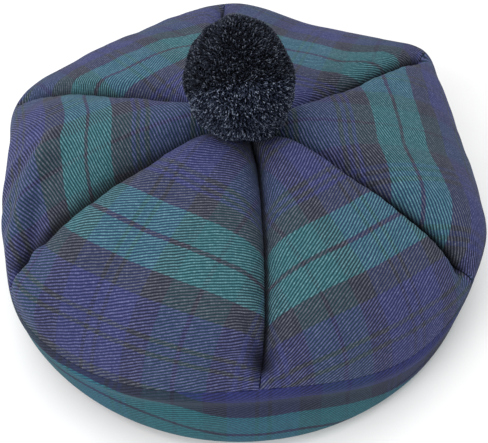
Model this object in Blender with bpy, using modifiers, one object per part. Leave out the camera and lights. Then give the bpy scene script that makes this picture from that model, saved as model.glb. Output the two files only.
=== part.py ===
"""Tam o'shanter, lying flat on a table: a crown of six gores, the side ring that is sewn
to it and turns under, the head band inside, and the toorie on top.

Units are metres and degrees, +Z is up and the front of the hat faces -Y. The origin is on
the table, under the middle of the hat. Angles run anticlockwise from +X, seen from above.
"""
from collections import namedtuple
from math import pi

import bmesh
import bpy
import numpy as np

# ---- driving dimensions ------------------------------------------------------------------
CLOTH = 0.0016             # twill with its seam allowance pressed behind it
GAP = 0.0003               # between neighbouring pieces

CROWN_CENTRE = (0.0077, -0.0044)   # where the six gores meet, seen from above
CROWN_DIMPLE = 0.0793      # height of the cloth under the toorie's tie
CROWN_HOLE = 0.0030        # radius that the gore tips leave for the tie
FLAT_TOP = 0.0385          # how far out the crown stays level
SHOULDER = 0.0240          # length over which the crown turns down to its edge

RING_CENTRE = (0.0016, -0.0012)       # middle of the round under part and of the head opening
RING_BULGE = 0.0010        # how far the ring stands out between edge and foot
RING_FLAT = 0.009          # width of cloth that lies flat on the table
RING_RISE = 0.020          # height of the ring's inner edge, where the head band starts
RING_TURN = 0.005          # first bit of the ring, which carries on the crown's slope
RING_DROP = 0.021          # depth of the ring's middle below its edge
FOOT_HEIGHT = 0.010        # where the ring starts to turn under
FOOT_TURN = 0.010          # width over which it turns under
GATHERS = 18               # soft gathers round the underside
GATHER_DEPTH = 0.0016

HEAD_RADIUS = 0.0925       # a 58 cm head opening
BAND_HEIGHT = 0.026
BAND_CLOTH = 0.0020        # ribbed band, folded double

TOORIE_WIDTH = 0.0552
TOORIE_HEIGHT = 0.0695
TOORIE_LEAN = (-0.0050, 0.0010)    # middle of the toorie from the crown's centre
TOORIE_TILT = (-0.0020, 0.0)       # how far its top leans over from its middle
TOORIE_SINK = 0.0043       # how far the pile presses down round the tie
TOORIE_SEAT = 0.0010       # room for the pile between its lowest tips and the cloth
LOCK_LENGTH = 0.0042
LOCK_VARIATION = 0.35
LOCK_SEED = 7

# Edge seam between crown and ring, seen from above: corners at the gore seams, sides
# between them. Reach is measured from the crown's centre, slope is how steeply the cloth
# dips where it passes over the edge.
Edge = namedtuple("Edge", "angle reach height slope")
OUTLINE = (
    Edge(9.4, 0.1332, 0.0470, 74),
    Edge(28.8, 0.1424, 0.0584, 59),
    Edge(39.8, 0.1547, 0.0601, 45),
    Edge(48.6, 0.1446, 0.0602, 43),
    Edge(70.8, 0.1486, 0.0512, 45),
    Edge(94.7, 0.1507, 0.0631, 42),
    Edge(121.6, 0.1535, 0.0507, 54),
    Edge(141.7, 0.1553, 0.0512, 46),
    Edge(157.0, 0.1632, 0.0490, 56),
    Edge(177.5, 0.1425, 0.0541, 75),
    Edge(201.7, 0.1434, 0.0431, 75),
    Edge(221.4, 0.1477, 0.0468, 72),
    Edge(235.4, 0.1446, 0.0427, 51),
    Edge(273.6, 0.1341, 0.0526, 63),
    Edge(309.2, 0.1378, 0.0369, 64),
    Edge(336.0, 0.1369, 0.0478, 87),
    Edge(349.9, 0.1336, 0.0474, 67),
)

# Where the ring turns under, measured from the ring's middle: less at the sides, where the
# crown hangs over it.
Foot = namedtuple("Foot", "angle radius")
FEET = (
    Foot(0, 0.1448), Foot(30, 0.1443), Foot(70, 0.1445), Foot(110, 0.1452), Foot(150, 0.1462),
    Foot(180, 0.1472), Foot(205, 0.1480), Foot(235, 0.1481), Foot(270, 0.1485), Foot(305, 0.1484),
    Foot(335, 0.1467),
)

# Crown seams. Bow is how far the seam swings sideways from a straight spoke, lean is how
# far one gore hangs over the other (+ the gore after it, - the gore before it, going
# anticlockwise), and the two rolls are the widths over which the gores dip into the seam.
Seam = namedtuple("Seam", "name angle bow depth lean roll_before roll_after opens closes")
SEAMS = (
    Seam("back_right", 37.8, -0.0014, 0.012, 0.005, 0.015, 0.013, 0.20, 0.90),
    Seam("back", 96.5, 0.0065, 0.007, 0.000, 0.014, 0.014, 0.20, 0.88),
    Seam("back_left", 161.0, -0.0104, 0.010, 0.002, 0.014, 0.018, 0.20, 0.90),
    Seam("front_left", 214.0, -0.0163, 0.011, -0.005, 0.017, 0.015, 0.20, 0.83),
    Seam("front", 271.5, 0.0045, 0.009, -0.001, 0.011, 0.012, 0.20, 0.88),
    Seam("front_right", 325.9, 0.0102, 0.011, 0.005, 0.015, 0.014, 0.20, 0.82),
)

# Gores in the order of the seams: each runs anticlockwise from its own seam to the next.
Gore = namedtuple("Gore", "name puff colour")
GORES = (
    Gore("crown_gore_back_right", 0.0018, (0.012, 0.040, 0.052)),
    Gore("crown_gore_back_left", 0.0061, (0.014, 0.020, 0.062)),
    Gore("crown_gore_left", 0.0104, (0.013, 0.034, 0.056)),
    Gore("crown_gore_front_left", 0.0138, (0.011, 0.038, 0.054)),
    Gore("crown_gore_front_right", 0.0097, (0.013, 0.030, 0.060)),
    Gore("crown_gore_right", 0.0088, (0.012, 0.036, 0.050)),
)

# The cloth eases a little between gores: soft folds and dents, each a ridge along a line.
# A spoke is the place across its gore (-1 at the seam before, +1 at the seam after), and
# the two ends give the share of the way from the crown's centre to its edge.
Fold = namedtuple("Fold", "gore spoke_in spoke_out start end width rise")
FOLDS = (
    Fold("crown_gore_left", 0.30, 0.52, 0.50, 1.00, 0.0070, 0.0022),
    Fold("crown_gore_left", 0.10, 0.22, 0.66, 1.00, 0.0060, 0.0016),
    Fold("crown_gore_right", -0.62, -0.45, 0.45, 0.95, 0.0080, 0.0016),
    Fold("crown_gore_back_left", 0.40, 0.30, 0.40, 0.90, 0.0090, 0.0015),
    Fold("crown_gore_front_right", -0.75, -0.62, 0.78, 1.00, 0.0070, -0.0020),
    Fold("crown_gore_front_left", 0.78, 0.66, 0.78, 1.00, 0.0070, -0.0018),
)

# Mesh sizes: cells across a gore, cells from its tip to its edge, rows round the ring.
ROLL_CELLS = 4
FIELD_CELLS = 6
SPOKE_CELLS = 11
RING_ROWS = 10
BAND_CELLS = 48
HALF_GORE = 0.075          # half a gore's width at its edge, which the folds are measured in
EDGE_ROW = 0.012           # share of a gore's length in the last, narrow row at its edge
ROLL_SHARE = 0.62          # part of the half gore that is field, the rest is roll


# ---- shape of the cloth ------------------------------------------------------------------
def ease(low, high, x):
    """Smooth step from 0 at low to 1 at high."""
    u = np.clip((x - low) / (high - low), 0.0, 1.0)
    return u * u * (3.0 - 2.0 * u)


def bezier(a, b, c, d, t):
    return (1 - t) ** 3 * a + 3 * (1 - t) ** 2 * t * b + 3 * (1 - t) * t * t * c + t ** 3 * d


def bezier_speed(a, b, c, d, t):
    return 3 * (1 - t) ** 2 * (b - a) + 6 * (1 - t) * t * (c - b) + 3 * t * t * (d - c)


def round_curve(table, column, angle):
    """Smooth closed curve through one column of a table of angles."""
    rows = sorted(table, key=lambda row: row.angle % 360)
    knots = np.array([row.angle % 360 for row in rows])
    values = np.array([getattr(row, column) for row in rows])
    knots = np.concatenate([knots - 360, knots, knots + 360])
    values = np.concatenate([values, values, values])
    slopes = np.gradient(values, knots)
    slopes[1:-1] = (values[2:] - values[:-2]) / (knots[2:] - knots[:-2])
    x = np.mod(angle, 360)
    i = np.searchsorted(knots, x, side="right") - 1
    span = knots[i + 1] - knots[i]
    u = (x - knots[i]) / span
    return ((2 * u ** 3 - 3 * u ** 2 + 1) * values[i] + (u ** 3 - 2 * u ** 2 + u) * span * slopes[i]
            + (3 * u ** 2 - 2 * u ** 3) * values[i + 1] + (u ** 3 - u ** 2) * span * slopes[i + 1])


def outline(column, angle):
    return round_curve(OUTLINE, column, angle)


def crown_sheet(angle, s):
    """Radius, height and outward normal of the crown at seam level, s from centre to edge."""
    reach = outline("reach", angle)
    height = outline("height", angle)
    slope = np.radians(outline("slope", angle))
    radii = (0 * reach, FLAT_TOP + 0 * reach, reach - SHOULDER * np.cos(slope), reach)
    heights = (CROWN_DIMPLE + 0 * reach, CROWN_DIMPLE + 0 * reach,
               height + SHOULDER * np.sin(slope), height)
    out = bezier_speed(*radii, s)
    down = bezier_speed(*heights, s)
    length = np.hypot(out, down)
    return bezier(*radii, s), bezier(*heights, s), -down / length, out / length


def seam_swing(seam, s):
    """Sideways swing of a seam, widest a little inside its middle, straight under the toorie."""
    return seam.bow * 4 * s * (1 - s) * (1.2 - 0.4 * s) * ease(0.0, 0.18, s)


def seam_roll(seam, after, s, q):
    """Roll of one gore into a seam, q from its top to the seam: distance in and drop."""
    room = 0.22 * crown_sheet(seam.angle, s)[0] + 0.0005
    width = np.minimum(seam.roll_after if after else seam.roll_before, room)
    fade = ease(0.0, seam.opens, s) * (1 - ease(seam.closes, 1 - EDGE_ROW, s))
    hang = np.clip(seam.lean if after else -seam.lean, -0.3 * width, 0.3 * width) * fade
    depth = seam.depth * fade
    if (seam.lean > 0) == after:
        turn, turn_drop = -1.6 * hang, 0.55 * depth
    else:
        turn, turn_drop = -2.2 * hang, 0.90 * depth
    clear = GAP / 2 * (1 + ease(0.85, 1.0, s))
    inward = bezier(width, 0.35 * width, turn, clear, q)
    return inward, bezier(0 * depth, 0 * depth, turn_drop, depth, q)


def angle_beside(seam, angle, s, distance):
    """Angle of a place that lies a distance anticlockwise of a seam."""
    spoke = np.maximum(crown_sheet(seam.angle, s)[0], 0.001)
    return angle + (seam_swing(seam, s) + distance) * 180 / pi / spoke


def gore_seams(number):
    """The seams before and after a gore, and their angles with the second the larger."""
    before, after = SEAMS[number], SEAMS[(number + 1) % len(SEAMS)]
    start = before.angle
    return before, after, start, start + (after.angle - start) % 360


def fold_rise(gore, across, s):
    """Height that the gore's soft folds add, and its dents take away."""
    rise = 0 * s
    for fold in FOLDS:
        if fold.gore != gore.name:
            continue
        along = np.clip((s - fold.start) / (fold.end - fold.start), 0, 1)
        spoke = fold.spoke_in + (fold.spoke_out - fold.spoke_in) * along
        distance = (across - spoke) * HALF_GORE * s / fold.width
        ends = ease(fold.start - 0.10, fold.start + 0.12, s) * (1 - ease(fold.end - 0.14, fold.end, s))
        rise = rise + fold.rise * np.exp(-distance * distance) * ends
    return rise * (1 - np.minimum(np.abs(across), 1) ** 8)


def gore_point(number, s, t):
    """Outer face of a gore: s from the crown's centre to its edge, t across it."""
    gore = GORES[number]
    before, after, start, stop = gore_seams(number)
    q_before = np.clip((-t - ROLL_SHARE) / (1 - ROLL_SHARE), 0, 1)
    q_after = np.clip((t - ROLL_SHARE) / (1 - ROLL_SHARE), 0, 1)
    in_before, drop_before = seam_roll(before, True, s, q_before)
    in_after, drop_after = seam_roll(after, False, s, q_after)
    first = angle_beside(before, start, s, in_before)
    last = angle_beside(after, stop, s, -in_after)
    share = np.clip((t + ROLL_SHARE) / (2 * ROLL_SHARE), 0, 1)
    angle = np.where(t < -ROLL_SHARE, first, np.where(t > ROLL_SHARE, last, first + (last - first) * share))

    seam_first = angle_beside(before, start, s, 0)
    seam_last = angle_beside(after, stop, s, 0)
    across = 2 * (angle - seam_first) / (seam_last - seam_first) - 1
    puff = gore.puff * (1 - np.minimum(np.abs(across), 1) ** 2.4)
    puff = puff * ease(0.0, 0.22, s) * (1 - ease(0.60, 1.0, s))
    lift = puff + fold_rise(gore, across, s) - drop_before - drop_after

    radius, height, out, up = crown_sheet(angle, s)
    radius = radius + lift * out
    height = height + lift * up
    turn = np.radians(angle)
    return np.stack([CROWN_CENTRE[0] + radius * np.cos(turn),
                     CROWN_CENTRE[1] + radius * np.sin(turn), height], -1)


def round_reach(angle, radius):
    """Distance from the crown's centre to a circle round the ring's centre."""
    turn = np.radians(angle)
    dx, dy = RING_CENTRE[0] - CROWN_CENTRE[0], RING_CENTRE[1] - CROWN_CENTRE[1]
    along = dx * np.cos(turn) + dy * np.sin(turn)
    return along + np.sqrt(along * along - dx * dx - dy * dy + radius * radius)


def ring_point(angle, q):
    """Outer face of the ring: q from the crown's edge down, under and in to the band."""
    reach, height = outline("reach", angle), outline("height", angle)
    slope = np.radians(outline("slope", angle))
    foot = round_reach(angle, round_curve(FEET, "radius", angle))
    middle = (reach + foot) / 2 + RING_BULGE
    inner = round_reach(angle, HEAD_RADIUS + BAND_CLOTH + 2 * GAP)
    level = 0 * reach
    path = (
        (reach, height),
        (reach + RING_TURN * np.cos(slope), height - RING_TURN * np.sin(slope)),
        (0.7 * reach + 0.3 * middle + 0.001, height - 0.57 * RING_DROP),
        (middle, height - RING_DROP),
        ((middle + foot) / 2, height / 2 - 0.004),
        (foot, FOOT_HEIGHT + level),
        (foot - 0.3 * FOOT_TURN, 0.3 * FOOT_HEIGHT + level),
        (foot - FOOT_TURN, level),
        (foot - FOOT_TURN - RING_FLAT, level),
        (0.55 * foot + 0.45 * inner - 0.010, 0.35 * RING_RISE + level),
        (inner, RING_RISE + level),
    )
    radii = np.array([step[0] for step in path])
    heights = np.array([step[1] for step in path])
    place = np.clip(q, 0, 1 - 1e-9) * (len(path) - 1)
    i = place.astype(int)
    u = place - i
    radius = spline_through(radii, i, u)
    height = np.maximum(spline_through(heights, i, u), 0)
    under = ease(0.62, 0.80, q) * (1 - ease(0.97, 1.0, q))
    height = height + under * GATHER_DEPTH * (1 + np.sin(np.radians(angle) * GATHERS))
    turn = np.radians(angle)
    return np.stack([CROWN_CENTRE[0] + radius * np.cos(turn),
                     CROWN_CENTRE[1] + radius * np.sin(turn), height], -1)


def spline_through(points, i, u):
    """Catmull-Rom curve through a row of points, at u of the way from point i to the next."""
    ends = np.concatenate([[2 * points[0] - points[1]], points, [2 * points[-1] - points[-2]]])
    column = np.arange(points.shape[1])
    a, b, c, d = (ends[i + k, column] for k in range(4))
    return 0.5 * (2 * b + (c - a) * u + (2 * a - 5 * b + 4 * c - d) * u ** 2
                  + (3 * b - a - 3 * c + d) * u ** 3)


def across_steps():
    """Places across a gore: closer together in the two rolls than in the field."""
    roll = np.linspace(ROLL_SHARE, 1, ROLL_CELLS + 1)[1:]
    field = np.linspace(-ROLL_SHARE, ROLL_SHARE, FIELD_CELLS + 1)
    return np.concatenate([-roll[::-1], field, roll])


def crown_top(x, y):
    """Height of the crown's outer face over a place near its middle."""
    dx, dy = x - CROWN_CENTRE[0], y - CROWN_CENTRE[1]
    angle = np.degrees(np.arctan2(dy, dx))
    steps = np.linspace(0, 1, 201)
    radii, heights, _, _ = crown_sheet(angle + 0 * steps, steps)
    s = np.interp(np.hypot(dx, dy), radii, steps)
    highest_puff = max(gore.puff for gore in GORES)
    return np.interp(s, steps, heights) + highest_puff * ease(0.0, 0.22, s)


# ---- Blender objects ---------------------------------------------------------------------
def clear_scene():
    for item in list(bpy.data.objects):
        bpy.data.objects.remove(item, do_unlink=True)


def cloth_material(name, colour, roughness):
    material = bpy.data.materials.new(name)
    material.use_nodes = True
    shader = material.node_tree.nodes["Principled BSDF"]
    shader.inputs["Base Color"].default_value = (*colour, 1)
    shader.inputs["Roughness"].default_value = roughness
    shader.inputs["Metallic"].default_value = 0.0
    return material


def add_object(name, mesh_builder, colour, roughness, collection):
    mesh = bpy.data.meshes.new(name)
    mesh_builder.to_mesh(mesh)
    mesh_builder.free()
    item = bpy.data.objects.new(name, mesh)
    item.data.materials.append(cloth_material(name, colour, roughness))
    item.data.shade_smooth()
    collection.objects.link(item)
    return item


def shaped_grid(rows, columns, place):
    """A flat grid whose corner (row, column) is moved to place[row, column]."""
    builder = bmesh.new()
    bmesh.ops.create_grid(builder, x_segments=rows - 1, y_segments=columns - 1, size=0.5)
    for vert in builder.verts:
        row = round((vert.co.x + 0.5) * (rows - 1))
        column = round((vert.co.y + 0.5) * (columns - 1))
        vert.co = place[row, column]
    return builder


def give_thickness(item, thickness):
    solid = item.modifiers.new("thickness", "SOLIDIFY")
    solid.thickness = thickness
    solid.offset = -1.0


def make_gore(number, collection):
    """One gore, from the hole under the toorie to the edge seam."""
    gore = GORES[number]
    steps = np.append(np.linspace(0, 1, SPOKE_CELLS + 1)[:-1] ** 0.9, [1 - EDGE_ROW, 1])
    across = across_steps()
    near = np.linspace(0, 0.2, 101)
    tip = np.interp(CROWN_HOLE, crown_sheet(0 * near, near)[0], near)
    edge = 1 - GAP / 2 / (3 * SHOULDER)
    s, t = np.meshgrid(tip + (edge - tip) * steps, across, indexing="ij")
    place = gore_point(number, s.ravel(), t.ravel()).reshape(*s.shape, 3)
    item = add_object(gore.name, shaped_grid(*s.shape, place), gore.colour, 0.85, collection)
    give_thickness(item, CLOTH)


def ring_angles():
    """Angles of the ring's columns, the same as those of the gores' edges."""
    across = across_steps()[:-1]
    angles = []
    for number in range(len(GORES)):
        edge = gore_point(number, 1 + 0 * across, across)
        angles.extend(np.degrees(np.arctan2(edge[:, 1] - CROWN_CENTRE[1], edge[:, 0] - CROWN_CENTRE[0])))
    return np.array(angles)


def close_round(place):
    """Repeats the first column, so that a grid's two ends meet."""
    return np.concatenate([place, place[:, :1]], 1)


def make_ring(collection):
    """The side ring: down from the crown's edge, under, and in to the head band."""
    start = GAP / 2 / (RING_TURN * RING_ROWS)
    steps = np.concatenate([[start], np.linspace(0, 1, RING_ROWS + 1)[1:]])
    q, angle = np.meshgrid(steps, ring_angles(), indexing="ij")
    place = close_round(ring_point(angle.ravel(), q.ravel()).reshape(*q.shape, 3))
    builder = shaped_grid(place.shape[0], place.shape[1], place)
    bmesh.ops.remove_doubles(builder, verts=builder.verts, dist=0.00005)
    item = add_object("side_ring", builder, (0.012, 0.030, 0.050), 0.85, collection)
    give_thickness(item, CLOTH)


def make_head_band(collection):
    """The plain band round the head opening, as wide as the ring's inner edge is high."""
    turns = np.linspace(0, 2 * pi, BAND_CELLS + 1)
    heights = np.array([BAND_HEIGHT, 0.5 * BAND_HEIGHT, 0.0])
    height, turn = np.meshgrid(heights, turns, indexing="ij")
    radius = HEAD_RADIUS + BAND_CLOTH
    place = np.stack([RING_CENTRE[0] + radius * np.cos(turn),
                      RING_CENTRE[1] + radius * np.sin(turn), height], -1)
    builder = shaped_grid(place.shape[0], place.shape[1], place)
    bmesh.ops.remove_doubles(builder, verts=builder.verts, dist=0.00005)
    item = add_object("head_band", builder, (0.008, 0.009, 0.014), 0.9, collection)
    give_thickness(item, BAND_CLOTH)


def egg_place(direction):
    """Place on the toorie's body for a direction from its middle: an egg, narrower on top."""
    narrow = 1 - 0.16 * max(direction.z, 0) ** 2
    return (direction.x * TOORIE_WIDTH / 2 * narrow + direction.z * TOORIE_TILT[0],
            direction.y * TOORIE_WIDTH / 2 * narrow + direction.z * TOORIE_TILT[1],
            direction.z * TOORIE_HEIGHT / 2)


def make_toorie(collection):
    """The toorie: a round body whose every face is drawn up into a lock of cut yarn."""
    builder = bmesh.new()
    bmesh.ops.create_icosphere(builder, subdivisions=3, radius=1.0)
    middle_x = CROWN_CENTRE[0] + TOORIE_LEAN[0]
    middle_y = CROWN_CENTRE[1] + TOORIE_LEAN[1]
    middle_z = CROWN_DIMPLE + TOORIE_HEIGHT / 2 - TOORIE_SINK
    for vert in builder.verts:
        x, y, z = egg_place(vert.co.normalized())
        inset = 1 - LOCK_LENGTH / (TOORIE_WIDTH / 2)
        vert.co = (middle_x + x * inset, middle_y + y * inset, middle_z + z * inset)
    random = np.random.RandomState(LOCK_SEED)
    for face in list(builder.faces):
        length = LOCK_LENGTH * (1 + LOCK_VARIATION * (random.rand() - 0.5))
        bmesh.ops.poke(builder, faces=[face], offset=length)
    for vert in builder.verts:
        floor = crown_top(vert.co.x, vert.co.y) + TOORIE_SEAT
        vert.co.z = max(vert.co.z, floor)
    return add_object("toorie", builder, (0.010, 0.011, 0.016), 0.95, collection)


def main():
    clear_scene()
    hat = bpy.data.collections.new("tam_o_shanter")
    bpy.context.scene.collection.children.link(hat)
    for number in range(len(GORES)):
        make_gore(number, hat)
    make_ring(hat)
    make_head_band(hat)
    make_toorie(hat)


main()
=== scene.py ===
"""Tam o'shanter in dark blue, black and green wool twill, lying on a pale floor.

The hat's six gores and its side ring are laid as fine cloth over the shapes of the solid
model, from the same named dimensions, and the cloth's own stripes run true along each gore.
The toorie is a ball of cut yarn ends. Units are metres and degrees, +Z is up.
"""

from collections import namedtuple
from functools import partial
from math import cos, pi, radians, sin

import bmesh
import bpy
import numpy as np
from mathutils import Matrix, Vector


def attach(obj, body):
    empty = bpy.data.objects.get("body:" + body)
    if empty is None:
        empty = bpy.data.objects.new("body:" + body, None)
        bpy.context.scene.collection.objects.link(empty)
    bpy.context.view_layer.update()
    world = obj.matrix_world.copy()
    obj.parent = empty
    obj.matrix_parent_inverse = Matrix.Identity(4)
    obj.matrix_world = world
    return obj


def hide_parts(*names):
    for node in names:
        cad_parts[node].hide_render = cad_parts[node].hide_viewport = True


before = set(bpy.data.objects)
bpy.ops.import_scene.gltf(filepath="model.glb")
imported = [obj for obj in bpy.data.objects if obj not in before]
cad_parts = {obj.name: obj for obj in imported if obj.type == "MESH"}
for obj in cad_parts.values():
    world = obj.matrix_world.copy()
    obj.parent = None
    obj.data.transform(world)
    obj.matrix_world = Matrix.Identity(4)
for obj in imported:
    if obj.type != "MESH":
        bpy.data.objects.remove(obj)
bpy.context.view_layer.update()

# ---- driving dimensions ----
CLOTH = 0.0016             # twill with its seam allowance pressed behind it
GAP = 0.0003               # between neighbouring pieces

CROWN_CENTRE = (0.0077, -0.0044)   # where the six gores meet, seen from above
CROWN_DIMPLE = 0.0793      # height of the cloth under the toorie's tie
CROWN_HOLE = 0.0030        # radius that the gore tips leave for the tie
FLAT_TOP = 0.0385          # how far out the crown stays level
SHOULDER = 0.0240          # length over which the crown turns down to its edge

RING_CENTRE = (0.0016, -0.0012)       # middle of the round under part and of the head opening
RING_BULGE = 0.0010        # how far the ring stands out between edge and foot
RING_FLAT = 0.009          # width of cloth that lies flat on the table
RING_RISE = 0.020          # height of the ring's inner edge, where the head band starts
RING_TURN = 0.005          # first bit of the ring, which carries on the crown's slope
RING_DROP = 0.021          # depth of the ring's middle below its edge
FOOT_HEIGHT = 0.010        # where the ring starts to turn under
FOOT_TURN = 0.010          # width over which it turns under
GATHERS = 18               # soft gathers round the underside
GATHER_DEPTH = 0.0016

HEAD_RADIUS = 0.0925       # a 58 cm head opening
BAND_HEIGHT = 0.026
BAND_CLOTH = 0.0020        # ribbed band, folded double

TOORIE_WIDTH = 0.0552
TOORIE_HEIGHT = 0.0695
TOORIE_LEAN = (-0.0050, 0.0010)    # middle of the toorie from the crown's centre
TOORIE_TILT = (-0.0020, 0.0)       # how far its top leans over from its middle
TOORIE_SINK = 0.0043       # how far the pile presses down round the tie
TOORIE_SEAT = 0.0010       # room for the pile between its lowest tips and the cloth

# Edge seam between crown and ring, seen from above: corners at the gore seams, sides
# between them. Reach is measured from the crown's centre, slope is how steeply the cloth
# dips where it passes over the edge.
Edge = namedtuple("Edge", "angle reach height slope")
OUTLINE = (
    Edge(9.4, 0.1332, 0.0470, 74),
    Edge(28.8, 0.1424, 0.0584, 59),
    Edge(39.8, 0.1547, 0.0601, 45),
    Edge(48.6, 0.1446, 0.0602, 43),
    Edge(70.8, 0.1486, 0.0512, 45),
    Edge(94.7, 0.1507, 0.0631, 42),
    Edge(121.6, 0.1535, 0.0507, 54),
    Edge(141.7, 0.1553, 0.0512, 46),
    Edge(157.0, 0.1632, 0.0490, 56),
    Edge(177.5, 0.1425, 0.0541, 75),
    Edge(201.7, 0.1434, 0.0431, 75),
    Edge(221.4, 0.1477, 0.0468, 72),
    Edge(235.4, 0.1446, 0.0427, 51),
    Edge(273.6, 0.1341, 0.0526, 63),
    Edge(309.2, 0.1378, 0.0369, 64),
    Edge(336.0, 0.1369, 0.0478, 87),
    Edge(349.9, 0.1336, 0.0474, 67),
)

# Where the ring turns under, measured from the ring's middle: less at the sides, where the
# crown hangs over it.
Foot = namedtuple("Foot", "angle radius")
FEET = (
    Foot(0, 0.1448), Foot(30, 0.1443), Foot(70, 0.1445), Foot(110, 0.1452), Foot(150, 0.1462),
    Foot(180, 0.1472), Foot(205, 0.1480), Foot(235, 0.1481), Foot(270, 0.1485), Foot(305, 0.1484),
    Foot(335, 0.1467),
)

# Crown seams. Bow is how far the seam swings sideways from a straight spoke, lean is how
# far one gore hangs over the other (+ the gore after it, - the gore before it, going
# anticlockwise), and the two rolls are the widths over which the gores dip into the seam.
Seam = namedtuple("Seam", "name angle bow depth lean roll_before roll_after opens closes")
SEAMS = (
    Seam("back_right", 37.8, -0.0014, 0.012, 0.005, 0.015, 0.013, 0.20, 0.90),
    Seam("back", 96.5, 0.0065, 0.007, 0.000, 0.014, 0.014, 0.20, 0.88),
    Seam("back_left", 161.0, -0.0104, 0.010, 0.002, 0.014, 0.018, 0.20, 0.90),
    Seam("front_left", 214.0, -0.0163, 0.011, -0.005, 0.017, 0.015, 0.20, 0.83),
    Seam("front", 271.5, 0.0045, 0.009, -0.001, 0.011, 0.012, 0.20, 0.88),
    Seam("front_right", 325.9, 0.0102, 0.011, 0.005, 0.015, 0.014, 0.20, 0.82),
)

# Gores in the order of the seams: each runs anticlockwise from its own seam to the next.
Gore = namedtuple("Gore", "name puff")
GORES = (
    Gore("crown_gore_back_right", 0.0018),
    Gore("crown_gore_back_left", 0.0061),
    Gore("crown_gore_left", 0.0104),
    Gore("crown_gore_front_left", 0.0138),
    Gore("crown_gore_front_right", 0.0097),
    Gore("crown_gore_right", 0.0088),
)

# The cloth eases a little between gores: soft folds and dents, each a ridge along a line.
# A spoke is the place across its gore (-1 at the seam before, +1 at the seam after), and
# the two ends give the share of the way from the crown's centre to its edge.
Fold = namedtuple("Fold", "gore spoke_in spoke_out start end width rise")
FOLDS = (
    Fold("crown_gore_left", 0.30, 0.52, 0.50, 1.00, 0.0070, 0.0022),
    Fold("crown_gore_left", 0.10, 0.22, 0.66, 1.00, 0.0060, 0.0016),
    Fold("crown_gore_right", -0.62, -0.45, 0.45, 0.95, 0.0080, 0.0016),
    Fold("crown_gore_back_left", 0.40, 0.30, 0.40, 0.90, 0.0090, 0.0015),
    Fold("crown_gore_front_right", -0.75, -0.62, 0.78, 1.00, 0.0070, -0.0020),
    Fold("crown_gore_front_left", 0.78, 0.66, 0.78, 1.00, 0.0070, -0.0018),
)

RING_ROWS = 10             # steps of the ring's path, from its edge in to the head band
HALF_GORE = 0.075          # half a gore's width at its edge, which the folds are measured in
EDGE_ROW = 0.012           # share of a gore's length in the last, narrow row at its edge
ROLL_SHARE = 0.62          # part of the half gore that is field, the rest is roll


# ---- shape of the cloth ----
def ease(low, high, x):
    """Smooth step from 0 at low to 1 at high."""
    u = np.clip((x - low) / (high - low), 0.0, 1.0)
    return u * u * (3.0 - 2.0 * u)


def bezier(a, b, c, d, t):
    return (1 - t) ** 3 * a + 3 * (1 - t) ** 2 * t * b + 3 * (1 - t) * t * t * c + t ** 3 * d


def bezier_speed(a, b, c, d, t):
    return 3 * (1 - t) ** 2 * (b - a) + 6 * (1 - t) * t * (c - b) + 3 * t * t * (d - c)


def round_curve(table, column, angle):
    """Smooth closed curve through one column of a table of angles."""
    rows = sorted(table, key=lambda row: row.angle % 360)
    knots = np.array([row.angle % 360 for row in rows])
    values = np.array([getattr(row, column) for row in rows])
    knots = np.concatenate([knots - 360, knots, knots + 360])
    values = np.concatenate([values, values, values])
    slopes = np.gradient(values, knots)
    slopes[1:-1] = (values[2:] - values[:-2]) / (knots[2:] - knots[:-2])
    x = np.mod(angle, 360)
    i = np.searchsorted(knots, x, side="right") - 1
    span = knots[i + 1] - knots[i]
    u = (x - knots[i]) / span
    return ((2 * u ** 3 - 3 * u ** 2 + 1) * values[i] + (u ** 3 - 2 * u ** 2 + u) * span * slopes[i]
            + (3 * u ** 2 - 2 * u ** 3) * values[i + 1] + (u ** 3 - u ** 2) * span * slopes[i + 1])


def round_place(centre, radius, turn, height):
    return np.stack([centre[0] + radius * np.cos(turn), centre[1] + radius * np.sin(turn), height], -1)


def outline(column, angle):
    return round_curve(OUTLINE, column, angle)


def crown_sheet(angle, s):
    """Radius, height and outward normal of the crown at seam level, s from centre to edge."""
    reach = outline("reach", angle)
    height = outline("height", angle)
    slope = np.radians(outline("slope", angle))
    radii = (0 * reach, FLAT_TOP + 0 * reach, reach - SHOULDER * np.cos(slope), reach)
    heights = (CROWN_DIMPLE + 0 * reach, CROWN_DIMPLE + 0 * reach,
               height + SHOULDER * np.sin(slope), height)
    out = bezier_speed(*radii, s)
    down = bezier_speed(*heights, s)
    length = np.hypot(out, down)
    return bezier(*radii, s), bezier(*heights, s), -down / length, out / length


def seam_swing(seam, s):
    """Sideways swing of a seam, widest a little inside its middle, straight under the toorie."""
    return seam.bow * 4 * s * (1 - s) * (1.2 - 0.4 * s) * ease(0.0, 0.18, s)


def seam_roll(seam, after, s, q):
    """Roll of one gore into a seam, q from its top to the seam: distance in and drop."""
    room = 0.22 * crown_sheet(seam.angle, s)[0] + 0.0005
    width = np.minimum(seam.roll_after if after else seam.roll_before, room)
    fade = ease(0.0, seam.opens, s) * (1 - ease(seam.closes, 1 - EDGE_ROW, s))
    hang = np.clip(seam.lean if after else -seam.lean, -0.3 * width, 0.3 * width) * fade
    depth = seam.depth * fade
    if (seam.lean > 0) == after:
        turn, turn_drop = -1.6 * hang, 0.55 * depth
    else:
        turn, turn_drop = -2.2 * hang, 0.90 * depth
    clear = GAP / 2 * (1 + ease(0.85, 1.0, s))
    inward = bezier(width, 0.35 * width, turn, clear, q)
    return inward, bezier(0 * depth, 0 * depth, turn_drop, depth, q)


def angle_beside(seam, angle, s, distance):
    """Angle of a place that lies a distance anticlockwise of a seam."""
    spoke = np.maximum(crown_sheet(seam.angle, s)[0], 0.001)
    return angle + (seam_swing(seam, s) + distance) * 180 / pi / spoke


def gore_seams(number):
    """The seams before and after a gore, and their angles with the second the larger."""
    before, after = SEAMS[number], SEAMS[(number + 1) % len(SEAMS)]
    start = before.angle
    return before, after, start, start + (after.angle - start) % 360


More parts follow.
